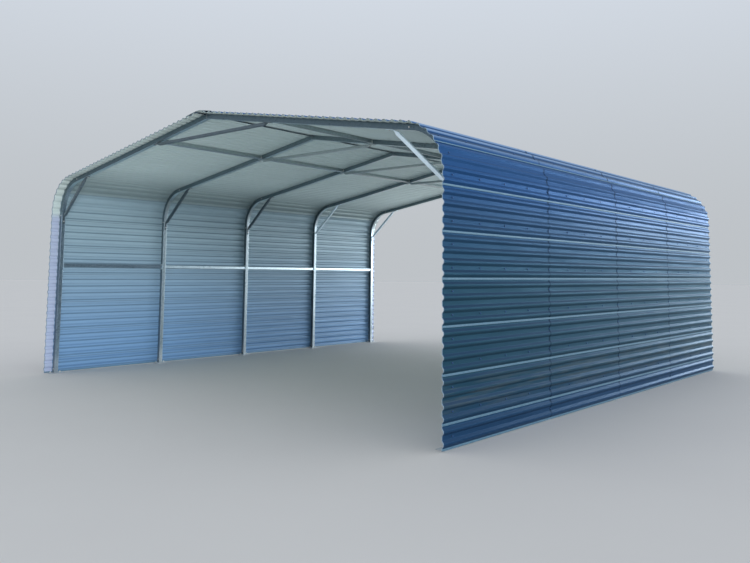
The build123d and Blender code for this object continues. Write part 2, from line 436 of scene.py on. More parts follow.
key = hang_lamp("key_lamp", place=(25.0, -13.5, 6.8), target=(-3.0, -1.5, 1.2),
                size=(8, 6), power=4600, tone=(0.93, 0.96, 1.0))
back = hang_lamp("back_lamp", place=(-1.0, 8.6, 2.2), target=(-2.4, 1.8, 1.6),
                 size=(4, 3), power=390, tone=(0.90, 0.95, 1.0))
side_panel = hang_lamp("side_panel", place=(8.2, 22.0, 4.2), target=(1.0, 0.0, 1.5),
                       size=(10, 3.2), power=900, tone=(0.90, 0.94, 1.0))
leg_panel = hang_lamp("leg_panel", place=(1.9, 6.3, 1.5), target=(-3.0, 1.1, 1.5),
                      size=(4, 3), power=34, tone=(0.90, 0.97, 1.0))
hang_lamp("roof_card", place=(-0.6, -2.5, 0.04), target=(-0.6, -2.5, 3.0),
          size=(4.4, 2.4), power=14, tone=(0.90, 0.97, 1.0))
keep_off_floor([key, back, side_panel, leg_panel])

# %% [markdown]
# ## Galvanised steel
#
# The hoops, braces and rails are tube that is rolled from galvanised strip. Zinc freezes in
# crystals, so each small patch reflects a little differently. A Voronoi texture has the same
# patches, and each cell gets its own tone and gloss. Over that lie soft stains, and near the
# ground a dull film of dust. On the hoops the faces that look forward get painted shade, and the
# faces that look down get painted light. One function makes all six finishes, which differ mainly
# in tone: the front hoop, the front tie and some braces get darker copies as painted shade, and
# the other braces a brighter copy as painted highlight.

# %% Finish for the tubes
STAIN_SIZE = 0.22
DUST_TOP = 0.30
DUST_BLOTCH = 0.05
ZINC_GRAIN = 0.012
ZINC_DEPTH = 0.00006
ZINC_DUST = (0.42, 0.41, 0.39, 1)
SHADED_FRONT = (0.07, 0.11, 0.13, 1)
LIT_UNDERSIDE = (0.72, 0.84, 0.84, 1)
HOOP_CRYSTAL, RAIL_CRYSTAL, STRUT_CRYSTAL = 0.014, 0.012, 0.010
HOOP_SHADE_SHARE = 0.65
LOOKS_DOWN, LOOKS_FORWARD = (-0.95, -0.7), (-0.8, -0.3)


def galvanised(name, dull, bright, crystal_size, shade_share=0.0, metallic=0.90):
    """Zinc-coated steel with crystals of about this size, and a share of painted shade in front and
    painted light below.
    """
    zinc = new_finish(name)
    sockets = {"Vector": zinc.place(), "Scale": 1 / crystal_size}
    cells = zinc.wire("ShaderNodeTexVoronoi", {}, sockets, "Color")
    crystal = zinc.wire("ShaderNodeSeparateColor", {}, {0: cells}, 0)
    stain = zinc.cloud(STAIN_SIZE, detail=4.0)
    dust = zinc.fade(zinc.axis("Z"), 0.0, DUST_TOP) * zinc.cloud(DUST_BLOTCH)
    tone = zinc.blend(crystal * 0.55 + stain * 0.45, dull, bright)
    # Painted light on the faces that look down, and painted shade on those that look forward.
    if shade_share:
        tone = zinc.blend(zinc.fade(zinc.facing("Z"), *LOOKS_DOWN) * shade_share, tone, LIT_UNDERSIDE)
        tone = zinc.blend(zinc.fade(zinc.facing("Y"), *LOOKS_FORWARD) * shade_share, tone, SHADED_FRONT)
    tone = zinc.blend(dust * 0.5, tone, ZINC_DUST)
    return zinc.surface({
        "Base Color": tone,
        "Metallic": metallic - dust * 0.6,
        "Roughness": 0.24 + crystal * 0.10 + stain * 0.08 + dust * 0.4,
        "Normal": zinc.relief(crystal * 0.4 + zinc.cloud(ZINC_GRAIN) * 0.6, ZINC_DEPTH),
    })


hoop_zinc = galvanised("hoop zinc", (0.28, 0.35, 0.38, 1), (0.50, 0.59, 0.63, 1), HOOP_CRYSTAL, HOOP_SHADE_SHARE)
# The front hoop's darker copy of the zinc is painted shade.
shaded_front_zinc = galvanised(
    "front hoop shaded zinc", (0.14, 0.20, 0.25, 1), (0.28, 0.36, 0.42, 1), HOOP_CRYSTAL, HOOP_SHADE_SHARE)
# The bright brace zinc is painted highlight, and the dark one painted shade.
lit_brace_zinc = galvanised(
    "brace zinc", (0.66, 0.80, 0.88, 1), (0.80, 0.93, 1.0, 1), STRUT_CRYSTAL, metallic=0.4)
shaded_zinc = galvanised("shaded brace zinc", (0.08, 0.11, 0.13, 1), (0.18, 0.23, 0.26, 1), STRUT_CRYSTAL)
tie_zinc = galvanised("tie zinc", (0.34, 0.39, 0.40, 1), (0.54, 0.60, 0.61, 1), STRUT_CRYSTAL)
rail_zinc = galvanised("rail zinc", (0.46, 0.57, 0.62, 1), (0.72, 0.86, 0.92, 1), RAIL_CRYSTAL)
print("tube finishes:", [material.name for material in bpy.data.materials if "zinc" in material.name])

# %% [markdown]
# ## Marks that follow the sheets
#
# The sheets lap at the inner hoops and at every fourth rib, and dirt gathers in each lap. On the
# outer face the dark mark at the inner hoops is partly painted shade. Marks painted by hand would
# fit one size of carport only. Here Y or Z is divided by the step from lap to lap instead, and the
# distance to the nearest whole number says how near the next lap is.

# %% Masks for the laps and the eave
HOOP_STEP = HOOPS[1] - HOOPS[0]
RIB_PITCH = 0.086
RIBS_WIDE = 4
GROUND_GAP = 0.010
LAP_STEP = RIBS_WIDE * RIB_PITCH


def near_inner_hoop(paint, width):
    """1 on an inner hoop, one step or none from the middle, and 0 from a width away."""
    steps = paint.axis("Y") / HOOP_STEP
    nearest = steps.maths("ROUND").maths("MAXIMUM", -1).maths("MINIMUM", 1)
    return paint.fade(abs(steps - nearest) * HOOP_STEP, 0.0, width)


def near_lap(paint, width):
    """1 where the wall's sheets lap, and 0 from a width away. The first sheet is half as wide."""
    steps = (paint.axis("Z") - GROUND_GAP - LAP_STEP / 2) / LAP_STEP
    return paint.fade(abs(steps - steps.maths("ROUND")) * LAP_STEP, 0.0, width)


def out_of_bend(paint):
    """How far a point lies outside the eave bend of the hoops, in metres."""
    across = abs(paint.axis("X")) - (HALF_SPAN - BEND_RADIUS)
    up = paint.axis("Z") - LEG_TOP
    return (across * across + up * up).maths("SQRT") - ARC_RADIUS


def streaks(paint):
    """Thin marks drawn out along the ribs."""
    return paint.cloud(size=0.035, detail=3.0, stretch=(1, 0.08, 1.4))


def buckles(paint):
    """Long soft swells, since thin sheet never lies quite flat."""
    return paint.cloud(size=0.5, detail=1.0, stretch=(1, 0.6, 3.0))


print("laps every", round(LAP_STEP, 3), "m up the wall and", round(HOOP_STEP, 3), "m along it")

# %% [markdown]
# ## The blue coat
#
# Outside, the sheets have a deep blue coat baked over zinc. It mirrors as metal does and tints what
# it mirrors, so a shader with a high Metallic and a thin clear Coat suits it. Its tone drifts at
# random, and painted reflection changes it with height: blue at the foot, teal half way up, and
# bluest round the eave. Pale streaks near the foot are painted reflection too. The upper side of
# every rib gets painted shade, the laps get painted shade with dirt, and the ribs at the top of
# the bend get painted highlights with painted shade between them. Each of these is one mask and
# one blend, laid over the last.

# %% Finish for the outer face
LAP_BAND = 0.024
CREST = (WALL_FACE + 0.003, WALL_FACE + 0.011)
CREST_SHADE_AND_GRIME, PATCH_SHADE_AND_GRIME = 0.60, 0.45
PATCHES = (0.35, 0.55)
TEAL_REFLECTION_RISES, TEAL_REFLECTION_FALLS = (0.10, 0.40), (1.1, 1.8)
STREAK_REFLECTION_RISES, STREAK_REFLECTION_FALLS = (0.16, 0.34), (0.36, 0.62)
REFLECTED_STREAKS = (0.40, 0.65)
CROWN = (1.70, 2.00)
UNDER_EAVE = (1.2, 2.1)
LOOKS_UP = (0.1, 0.5)
RIB_SHADE_MOST = 0.72
BEND_TOP = (2.24, 2.30)
BEND_END = on_hoop(ARC_END, 0)[0]
HIGHLIGHT_ACROSS = (BEND_END, BEND_END + 0.03)
ON_RIB, BETWEEN_RIBS = (0.006, 0.012), (0.002, 0.006)
BUCKLE_DEPTH = 0.010
CLEAR_COAT = 0.07
COAT_GRAIN, COAT_GRAIN_DEPTH = 0.004, 0.00004
DEEP_BLUE, MID_BLUE = (0.011, 0.058, 0.150, 1), (0.024, 0.096, 0.220, 1)
EAVE_REFLECTION_BLUE, SHADE_BLUE = (0.013, 0.088, 0.262, 1), (0.004, 0.032, 0.086, 1)
REFLECTION_TEAL, STREAK_REFLECTION_TONE = (0.018, 0.083, 0.126, 1), (0.13, 0.16, 0.18, 1)
HIGHLIGHT_BLUE, LAP_SHADE_AND_GRIME = (0.27, 0.40, 0.60, 1), (0.004, 0.016, 0.042, 1)


def wall_tone_and_painted_light(paint, height, drift, streak):
    """The coat's tone up the wall, with painted reflection in bands and pale streaks, and painted shade on
    its ribs.
    """
    tone = paint.blend(drift * 0.5 + streak * 0.5, DEEP_BLUE, MID_BLUE)
    # Painted reflection: bluest near the top of the wall.
    tone = paint.blend(paint.ramp(height, *CROWN) * 0.85, tone, EAVE_REFLECTION_BLUE)
    # Painted reflection: a teal band half way up the wall.
    teal_reflection = paint.band(height, TEAL_REFLECTION_RISES, TEAL_REFLECTION_FALLS) * (0.65 + streak * 0.30)
    tone = paint.blend(teal_reflection, tone, REFLECTION_TEAL)
    # Painted reflection: pale streaks near the foot.
    streak_reflection = paint.band(height, STREAK_REFLECTION_RISES, STREAK_REFLECTION_FALLS) * paint.ramp(streak, *REFLECTED_STREAKS)
    tone = paint.blend(streak_reflection * 0.45, tone, STREAK_REFLECTION_TONE)
    # Painted shade on the upper side of every rib, strongest low on the wall.
    rib_shade = paint.ramp(paint.facing("Z"), *LOOKS_UP) * paint.ramp(height, *UNDER_EAVE, RIB_SHADE_MOST, 0.0)
    return paint.blend(rib_shade, tone, SHADE_BLUE)


def bend_highlights(paint, height, tone):
    """The tone, with painted highlights on the ribs at the top of the bend and painted shade between them.
    """
    rise = out_of_bend(paint)
    highlight_mask = paint.ramp(height, *BEND_TOP) * paint.ramp(abs(paint.axis("X")), *HIGHLIGHT_ACROSS)
    tone = paint.blend(highlight_mask * paint.ramp(rise, *ON_RIB) * 0.85, tone, HIGHLIGHT_BLUE)
    return paint.blend(highlight_mask * paint.fade(rise, *BETWEEN_RIBS) * 0.60, tone, SHADE_BLUE)


def blue_coat():
    """The outer face, with painted shade and dirt in its laps that is patchy, and thinner on the crests.
    """
    paint = new_finish("blue coat")
    height = paint.axis("Z")
    drift = paint.cloud(size=0.35, detail=4.0, stretch=(1, 0.35, 1))
    patchy = paint.ramp(paint.cloud(size=0.30), *PATCHES, PATCH_SHADE_AND_GRIME, 1.0)
    thinner = paint.ramp(abs(paint.axis("X")), *CREST, 1.0, CREST_SHADE_AND_GRIME)
    # Painted shade with dirt along the laps at the inner hoops, patchy and thinner on the crests.
    shade_share = near_inner_hoop(paint, LAP_BAND) * patchy * thinner
    tone = wall_tone_and_painted_light(paint, height, drift, streaks(paint))
    tone = paint.blend(shade_share * 0.80, bend_highlights(paint, height, tone), LAP_SHADE_AND_GRIME)
    grain = paint.relief(paint.cloud(COAT_GRAIN), COAT_GRAIN_DEPTH)
    return paint.surface({
        "Base Color": tone,
        "Metallic": 0.88,
        "Specular Tint": (0.80, 0.89, 0.92, 1),
        "Roughness": 0.38 + drift * 0.10 + shade_share * 0.25,
        "Coat Weight": (1 - shade_share) * CLEAR_COAT,
        "Coat Roughness": 0.16,
        "Normal": paint.relief(buckles(paint), BUCKLE_DEPTH, grain),
    })


outer_coat = blue_coat()
print(outer_coat.name, "has", len(outer_coat.node_tree.nodes), "nodes")

# %% [markdown]
# ## The backing coat
#
# Inside, the sheets have a thin pale coat that scatters light more than it mirrors it. It is blue
# low on the wall, grey-green above, darker round the eave as painted shade, and palest under the
# roof. A short list of heights and tones says so from the ground up, and a loop blends each tone
# into the ones below it. The upper side of every rib gets painted shade, a dark line marks every
# lap, and the overhang beyond the end hoops gets painted light.

# %% Finish for the inner face
LAP_LINE = 0.011
EAVE_LAP = 2.236
WALL_LAPS_END = (1.95, 1.99)
ON_LEDGE = (0.15, 0.6)
ROOF_FROM = (1.90, 2.00)
OVERHANG_FROM = HOOPS[-1] + HALF_TUBE
OVERHANG = (OVERHANG_FROM, OVERHANG_FROM + 0.006)
BACKING_BUCKLE_DEPTH = 0.008
WALL_LOW, WALL_HIGH = (0.17, 0.33, 0.56, 1), (0.31, 0.43, 0.49, 1)
EAVE_SHADE_TONE, ROOF_TONE = (0.26, 0.34, 0.35, 1), (0.72, 0.85, 0.83, 1)
LIT_OVERHANG_WALL, LIT_OVERHANG_ROOF = (0.52, 0.57, 0.74, 1), (0.70, 0.79, 0.75, 1)
WEAR_TONE, LEDGE_SHADE_TONE, LAP_TONE = (0.05, 0.08, 0.10, 1), (0.05, 0.10, 0.13, 1), (0.05, 0.09, 0.11, 1)
BACKING_TONES = ((0.0, 2.0, WALL_HIGH), (EAVE_LAP, EAVE_LAP + 0.01, EAVE_SHADE_TONE), (2.28, 2.56, ROOF_TONE))


def backing_coat():
    """The inner face: a thin pale coat, blue at the foot and grey-green under the roof."""
    paint = new_finish("pale backing")
    height = paint.axis("Z")
    drift = paint.cloud(size=0.4, detail=4.0, stretch=(1, 0.5, 1))
    tone = WALL_LOW
    # The darker tone round the eave is painted shade.
    for low, high, above in BACKING_TONES:
        tone = paint.blend(paint.ramp(height, low, high), tone, above)
    tone = paint.blend((drift * 0.5 + streaks(paint) * 0.5) * 0.24, tone, WEAR_TONE)
    # Painted shade on the upper side of every rib.
    tone = paint.blend(paint.ramp(paint.facing("Z"), *ON_LEDGE) * 0.45, tone, LEDGE_SHADE_TONE)
    wall_laps = near_lap(paint, LAP_LINE) * paint.fade(height, *WALL_LAPS_END)
    laps = wall_laps.maths("MAXIMUM", paint.fade(abs(height - EAVE_LAP), 0.0, LAP_LINE))
    tone = paint.blend(laps * 0.45, tone, LAP_TONE)
    # Painted light on the overhang beyond the end hoops.
    overhang_light = paint.blend(paint.ramp(height, *ROOF_FROM), LIT_OVERHANG_WALL, LIT_OVERHANG_ROOF)
    tone = paint.blend(paint.ramp(abs(paint.axis("Y")), *OVERHANG) * 0.8, tone, overhang_light)
    return paint.surface({
        "Base Color": tone,
        "Metallic": 0.15,
        "Roughness": 0.42 + drift * 0.15,
        "Normal": paint.relief(buckles(paint), BACKING_BUCKLE_DEPTH),
    })


backing = backing_coat()
print(backing.name, "has", len(backing.node_tree.nodes), "nodes")

# %% [markdown]
# ## Bare edges, flashing and fixings
#
# Where a sheet is cut or rolled over, the pale backing and bare zinc show, and the rolled edge's
# paler tone is partly painted highlight. The ridge flashing is the same coat in a paler tone. Screw
# heads have the blue of the sheet over a black rubber washer, and bolts are plain zinc. These are
# small, so two tones, worn into each other by a cloud, and a fine grain are enough for all of them.

# %% Finishes for the small parts
WEAR_SIZE = 0.03
GRAIN_SIZE = 0.003
GRAIN_DEPTH = 0.00006


def small_finish(name, dull, clear, metallic, roughness):
    """Two tones in worn patches, rougher where the second shows."""
    paint = new_finish(name)
    wear = paint.cloud(WEAR_SIZE, detail=4.0)
    return paint.surface({
        "Base Color": paint.blend(wear, dull, clear),
        "Metallic": metallic,
        "Roughness": roughness + wear * 0.15,
        "Normal": paint.relief(paint.cloud(GRAIN_SIZE), GRAIN_DEPTH),
    })


bare_edge = small_finish("bare edge", (0.16, 0.24, 0.32, 1), (0.28, 0.38, 0.46, 1),
                         metallic=0.3, roughness=0.40)
# The rolled edge's paler tone is partly painted highlight.
rolled_edge_highlight = small_finish("rolled edge", (0.07, 0.16, 0.24, 1), (0.16, 0.29, 0.38, 1),
                           metallic=0.3, roughness=0.40)
flashing_coat = small_finish("flashing coat", (0.40, 0.47, 0.52, 1), (0.52, 0.59, 0.64, 1),
                             metallic=0.3, roughness=0.35)
plate_zinc = small_finish("plate zinc", (0.40, 0.43, 0.45, 1), (0.60, 0.63, 0.66, 1),
                          metallic=0.8, roughness=0.42)
bolt_zinc = small_finish("bolt zinc", (0.50, 0.51, 0.50, 1), (0.72, 0.72, 0.70, 1),
                         metallic=0.9, roughness=0.28)
screw_coat = small_finish("screw coat", (0.022, 0.08, 0.22, 1), (0.04, 0.13, 0.33, 1),
                          metallic=0.4, roughness=0.30)
washer_rubber = small_finish("washer rubber", (0.012, 0.012, 0.013, 1), (0.03, 0.03, 0.032, 1),
                             metallic=0.0, roughness=0.65)
weld_steel = small_finish("weld steel", (0.20, 0.20, 0.21, 1), (0.42, 0.42, 0.43, 1),
                          metallic=0.7, roughness=0.45)
print("materials so far", len(bpy.data.materials))

# %% [markdown]
# ## Gathering a mesh
#
# Nearly everything here is a section carried along a line: a tube, a rib, a bolt turned on its
# axis. Rings of points joined by four-sided faces make all of them. The points are gathered in
# plain lists first, because one large mesh is much quicker to make than many small ones that are
# then joined. The left side is the right side mirrored, as on the real carport.

# %% Points and faces of one piece
class Stock:
    """Points, faces and finish numbers, gathered before Blender makes the mesh."""

    def __init__(self):
        self.points = []
        self.faces = []
        self.finishes = []

    def skin(self, rings, finish=0, closed=True):
        """Join neighbouring rings with faces. The finish may be worked out from row and strip."""
        first = len(self.points)
        count = len(rings[0])
        for ring in rings:
            self.points.extend(ring)
        for row in range(len(rings) - 1):
            for strip in range(count if closed else count - 1):
                here = first + row * count + strip
                beside = first + row * count + (strip + 1) % count
                self.faces.append((here, here + count, beside + count, beside))
                self.finishes.append(finish(row, strip) if callable(finish) else finish)
        return first

    def bar(self, rings, finish=0):
        """A skin with a lid on each end."""
        first = self.skin(rings, finish)
        count = len(rings[0])
        last = first + count * (len(rings) - 1)
        self.faces += [tuple(range(first, first + count)), tuple(range(last, last + count))]
        self.finishes += [finish, finish]

    def add(self, other, matrix):
        """Add a copy of another stock, moved by a matrix."""
        first = len(self.points)
        self.points += [tuple(matrix @ Vector(point)) for point in other.points]
        self.faces += [tuple(first + index for index in face) for face in other.faces]
        self.finishes += other.finishes


print("a stock gathers", list(vars(Stock())))

# %% [markdown]
# ## From gathered points to a piece
#
# Blender makes the mesh from the lists in one step. Round parts are then shaded smooth, and edges
# that turn sharply are marked sharp, which is lighter than a bevel on each. Tube and sheet are
# drawn as a skin, and a Solidify modifier gives them their thickness. On a sheet its inner face
# takes the next finish in the list, and its rim the one after. Last, each piece rides on the
# carport's one rigid body, and the CAD nodes that it stands for are hidden.

# %% Make a piece from gathered points
SHARP_FROM = math.radians(32)
INWARD = -1


def turn_outward(mesh):
    """Turn the faces of a closed mesh so that all of them look outward."""
    work = bmesh.new()
    work.from_mesh(mesh)
    bmesh.ops.recalc_face_normals(work, faces=work.faces)
    work.to_mesh(mesh)
    work.free()


def make_mesh(stock, name, materials, side):
    """The mesh of a stock, mirrored for the left side of the carport."""
    mesh = bpy.data.meshes.new(name)
    points = [(side * x, y, z) for x, y, z in stock.points]
    faces = stock.faces if side == 1 else [face[::-1] for face in stock.faces]
    mesh.from_pydata(points, [], faces)
    mesh.polygons.foreach_set("material_index", stock.finishes)
    for material in materials:
        mesh.materials.append(material)
    return mesh


def make_piece(stock, name, materials, side=1, nodes=(), closed=True, wall=None):
    """Make the mesh, smooth its round parts, and fasten it to the carport's one rigid body."""
    mesh = make_mesh(stock, name, materials, side)
    if closed:
        turn_outward(mesh)
    mesh.shade_smooth()
    mesh.set_sharp_from_angle(angle=SHARP_FROM)
    piece = bpy.data.objects.new(name, mesh)
    scene.collection.objects.link(piece)
    if wall:
        shell = piece.modifiers.new("sheet thickness", "SOLIDIFY")
        shell.thickness = wall
        shell.offset = INWARD
        shell.material_offset, shell.material_offset_rim = (1, 2) if len(materials) > 1 else (0, 0)
    flats = piece.modifiers.new("flat faces stay flat", "WEIGHTED_NORMAL")
    flats.keep_sharp = True
    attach(piece, "root")
    if nodes:
        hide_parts(*nodes)
    return piece


print("edges are sharp from", round(math.degrees(SHARP_FROM)), "degrees")

# %% [markdown]
# ## Sections and directions
#
# A few outlines serve the whole carport. Rolled tube is a rectangle with rounded corners, and a
# bolt, a screw or a washer is a small outline turned about an axis. The directions of the slope
# come up as often, so each gets a name once, and the rest of the lesson can be read aloud.

# %% Draw the sections and name the directions
CORNER_STEPS = 3
ALONG = Vector((0, 1, 0))
ACROSS = Vector((1, 0, 0))
UP = Vector((0, 0, 1))
UP_SLOPE = Vector((-math.cos(PITCH), 0, math.sin(PITCH)))
OFF_SLOPE = Vector((math.sin(PITCH), 0, math.cos(PITCH)))
MITRE = UP / math.cos(PITCH)


def rounded_section(width, depth, corner):
    """Points round a rectangle with rounded corners."""
    points = []
    for quarter in range(4):
        turn = quarter * math.pi / 2
        across = width / 2 - corner if quarter in (0, 3) else corner - width / 2
        up = depth / 2 - corner if quarter in (0, 1) else corner - depth / 2
        for step in range(CORNER_STEPS + 1):
            angle = turn + step / CORNER_STEPS * math.pi / 2
            points.append((across + corner * math.cos(angle), up + corner * math.sin(angle)))
    return points


def ring(section, centre, across, out):
    """A section set in space: its first direction lies across, its second out."""
    return [tuple(centre + across * u + out * v) for u, v in section]


def turned(outline, sides):
    """Rings round the Z axis, from pairs of radius and height."""
    rings = []
    for radius, height in outline:
        rings.append([(radius * math.cos(a), radius * math.sin(a), height) for a in round_angles(sides)])
    return rings


def standing(place, out):
    """The matrix that stands something on a place, with its Z axis pointing out."""
    return Matrix.Translation(place) @ Vector(out).to_track_quat("Z", "Y").to_matrix().to_4x4()


def mirrored(vector):
    """The same place or direction on the other side of the carport."""
    return Vector((-vector.x, vector.y, vector.z))


def slope_point(reach, rise, y):
    across, height = on_slope(reach, rise)
    return Vector((across, y, height))


print("points round a tube", len(rounded_section(TUBE, TUBE, HALF_TUBE)))

# %% [markdown]
# ## Legs, bends and bows
#
# A hoop is five tubes: two legs, two bends and a roof bow. The bends end in slimmer spigots that
# slide into the leg and the bow, so a fine dark line runs round each joint. Rolled tube has
# rounded corners, which catch a thin line of light, and a bent tube wrinkles a little on its
# inner face. Each tube is a skin, and a Solidify modifier gives it the wall of the real strip.

# %% Sections of the tube and its spigot
TUBE_CORNER = 0.004
TUBE_WALL = 0.0015
SLIP = 0.0006
SPIGOT = TUBE - 2 * TUBE_WALL - SLIP
SPIGOT_LENGTH = 0.070
JOINT_GAP = 0.0012
tube_section = rounded_section(TUBE, TUBE, TUBE_CORNER)
spigot_section = rounded_section(SPIGOT, SPIGOT, TUBE_CORNER - TUBE_WALL)
print("spigot", round(SPIGOT, 4), "in a tube of", round(TUBE, 4))

# %% Draw a leg, a bend and a bow
BEND_CENTRE = Vector((HALF_SPAN - BEND_RADIUS, 0, LEG_TOP))
BEND_STEPS = 40
SMOOTH_STEPS = 3
WRINKLE = 0.0007


def straight(stock, section, start, end):
    """A straight skin in the plane of a hoop."""
    out = ALONG.cross((end - start).normalized())
    stock.skin([ring(section, start, ALONG, out), ring(section, end, ALONG, out)])


def leg_tube(y):
    stock = Stock()
    foot, top = Vector((HALF_SPAN, y, FOOT_TOP)), Vector((HALF_SPAN, y, LEG_TOP - JOINT_GAP))
    straight(stock, tube_section, foot, top)
    return stock


def bend_section(step):
    """The tube's section, with its inner face pushed in at every other step but the end ones."""
    if step % 2 == 0 or not SMOOTH_STEPS < step < BEND_STEPS - SMOOTH_STEPS:
        return tube_section
    inner_face = TUBE_CORNER / 2 - HALF_TUBE
    return [(u, v + WRINKLE if v < inner_face else v) for u, v in tube_section]


def bend_tube(y):
    """The bend, with a spigot down into the leg and one up into the bow."""
    stock = Stock()
    rings = []
    for step in range(BEND_STEPS + 1):
        turned_by = TURN * step / BEND_STEPS
        out = Vector((math.cos(turned_by), 0, math.sin(turned_by)))
        centre = BEND_CENTRE + ALONG * y + out * BEND_RADIUS
        rings.append(ring(bend_section(step), centre, ALONG, out))
    stock.skin(rings)
    foot = Vector((HALF_SPAN, y, LEG_TOP))
    straight(stock, spigot_section, foot, foot - UP * SPIGOT_LENGTH)
    head, tip = slope_point(BOW_REACH, 0, y), slope_point(BOW_REACH - SPIGOT_LENGTH, 0, y)
    straight(stock, spigot_section, head, tip)
    return stock


def bow_tube(y):
    """Both roof arms, mitred at the ridge."""
    stock = Stock()
    right = slope_point(BOW_REACH - JOINT_GAP, 0, y)
    stock.skin([
        ring(tube_section, mirrored(right), ALONG, mirrored(OFF_SLOPE)),
        ring(tube_section, Vector((0, y, RIDGE)), ALONG, MITRE),
        ring(tube_section, right, ALONG, OFF_SLOPE),
    ])
    return stock


print("faces in one bend", len(bend_tube(0).faces))

# %% Make the five hoops
for number, y in zip(HOOP_NUMBERS, HOOPS):
    # The front hoop gets the darker copy of the zinc, as painted shade.
    zinc = [shaded_front_zinc if number == 1 else hoop_zinc]
    for side in SIDES:
        for kind, maker in (("leg", leg_tube), ("eave_bend", bend_tube)):
            node = f"{kind}_{SIDE_NAMES[side]}_{number}"
            make_piece(maker(y), f"{node}_tube", zinc, side, [node], wall=TUBE_WALL)
    node = f"roof_bow_{number}"
    make_piece(bow_tube(y), f"{node}_tube", zinc, 1, [node], wall=TUBE_WALL)

# %% [markdown]
# ## Struts with pressed ends
#
# Braces and ties are small square tubes whose ends are pressed flat and bent, so that a bolt can
# hold them against a leg or a bow. Each is one section that changes on its way: flat, then square,
# then flat again. Carrying rings of changing depth along a bent line gives exactly that, and needs
# no joining of separate parts.

# %% Draw a strut
STRUT = 0.030
STRUT_CORNER = 0.003
CORNER_SHARE = 0.45
TAB_LENGTH = 0.080
TAB_DEPTH = 0.004
TAB_SEAT = -HALF_TUBE - TAB_DEPTH / 2
PRESS_LENGTH = 0.055


def pressed_strut(stock, stations, finish=0):
    """A strut through stations, each a centre, a direction of travel and a depth."""
    rings = []
    for centre, along, depth in stations:
        section = rounded_section(STRUT, depth, min(STRUT_CORNER, depth * CORNER_SHARE))
        rings.append(ring(section, centre, ALONG, ALONG.cross(along.normalized())))
    stock.bar(rings, finish)


print("a strut of", STRUT, "m is pressed to", TAB_DEPTH)

# %% [markdown]
# ## Knee braces
#
# A knee brace runs from each leg to its bow and keeps the corner square. All the braces of one
# side are one piece here, since nothing tells them apart but their zinc. Some get a bright zinc
# as painted highlight and others a dark one as painted shade, so each is given the number of its
# finish.

# %% Make the knee braces
BRACE_BELOW_BEND = 0.060
BRACE_PAST_BEND = 0.210
TAB_BEND = 0.008
PRESS_FROM = 0.014
HALF_PRESSED = TAB_DEPTH * 1.5
LIT_BRACES = {1: (1, 4, 5), -1: (4, 5)}


def knee_brace(stock, y, finish):
    low = Vector((HALF_SPAN - HALF_TUBE, y, LEG_TOP - BRACE_BELOW_BEND))
    high = slope_point(BOW_REACH - BRACE_PAST_BEND, -HALF_TUBE, y)
    along = (high - low).normalized()
    low_tab = low - ACROSS * (TAB_DEPTH / 2)
    high_tab = slope_point(BOW_REACH - BRACE_PAST_BEND, TAB_SEAT, y)
    pressed_strut(stock, [
        (low_tab - UP * TAB_LENGTH, UP, TAB_DEPTH),
        (low_tab - UP * TAB_BEND, UP, TAB_DEPTH),
        (low + along * PRESS_FROM, UP + along, HALF_PRESSED),
        (low + along * PRESS_LENGTH, along, STRUT),
        (high - along * PRESS_LENGTH, along, STRUT),
        (high - along * PRESS_FROM, along + UP_SLOPE, HALF_PRESSED),
        (high_tab + UP_SLOPE * TAB_BEND, UP_SLOPE, TAB_DEPTH),
        (high_tab + UP_SLOPE * TAB_LENGTH, UP_SLOPE, TAB_DEPTH),
    ], finish)


for side in SIDES:
    braces = Stock()
    for number, y in zip(HOOP_NUMBERS, HOOPS):
        # A bright zinc is painted highlight, and a dark one painted shade.
        knee_brace(braces, y, 1 if number in LIT_BRACES[side] else 0)
    name = SIDE_NAMES[side]
    shaded_and_lit_zincs = [shaded_zinc, lit_brace_zinc]
    make_piece(braces, f"knee_brace_tubes_{name}", shaded_and_lit_zincs, side, [f"knee_braces_{name}"])
print("braces from", round(LEG_TOP - BRACE_BELOW_BEND - TAB_LENGTH, 3), "m up")

# %% [markdown]
# ## Collar ties
#
# A tie crosses each hoop under the ridge and keeps the two slopes from spreading. Its tabs lie
# along the slopes. It is the same on both sides, so only the stations of its right half are
# written out, and the left half is those mirrored, in reverse order.

# %% Make the collar ties
TIE_ACROSS = 0.900
TIE_REACH = TIE_ACROSS / math.cos(PITCH)
TIE_TAB_END = STRUT * 0.7
TIE_PRESS_AT = STRUT * 0.3
TIE_PRESS_DROP = 0.003
TIE_HALF_PRESSED = TAB_DEPTH * 2


def collar_tie(stock, y):
    level = on_slope(TIE_REACH, -HALF_TUBE)[1] - STRUT / 2
    bar_end = Vector((on_slope(TIE_REACH, 0)[0] - PRESS_LENGTH / 2, y, level))
    pressed = slope_point(TIE_REACH + TIE_PRESS_AT, TAB_SEAT - TIE_PRESS_DROP, y)
    right = [
        (slope_point(TIE_REACH + TAB_LENGTH, TAB_SEAT, y), UP_SLOPE, TAB_DEPTH),
        (slope_point(TIE_REACH + TIE_TAB_END, TAB_SEAT, y), UP_SLOPE, TAB_DEPTH),
        (pressed, UP_SLOPE - ACROSS, TIE_HALF_PRESSED),
        (bar_end, -ACROSS, STRUT),
    ]
    left = [(mirrored(centre), -mirrored(along), depth) for centre, along, depth in reversed(right)]
    pressed_strut(stock, right + left)


for number, y in zip(HOOP_NUMBERS, HOOPS):
    tie = Stock()
    collar_tie(tie, y)
    # The front tie gets the dark zinc, as painted shade.
    zinc = [shaded_zinc if number == 1 else tie_zinc]
    make_piece(tie, f"collar_tie_{number}_tube", zinc, 1, [f"collar_tie_{number}"])
print("ties reach", TIE_ACROSS, "m each way")

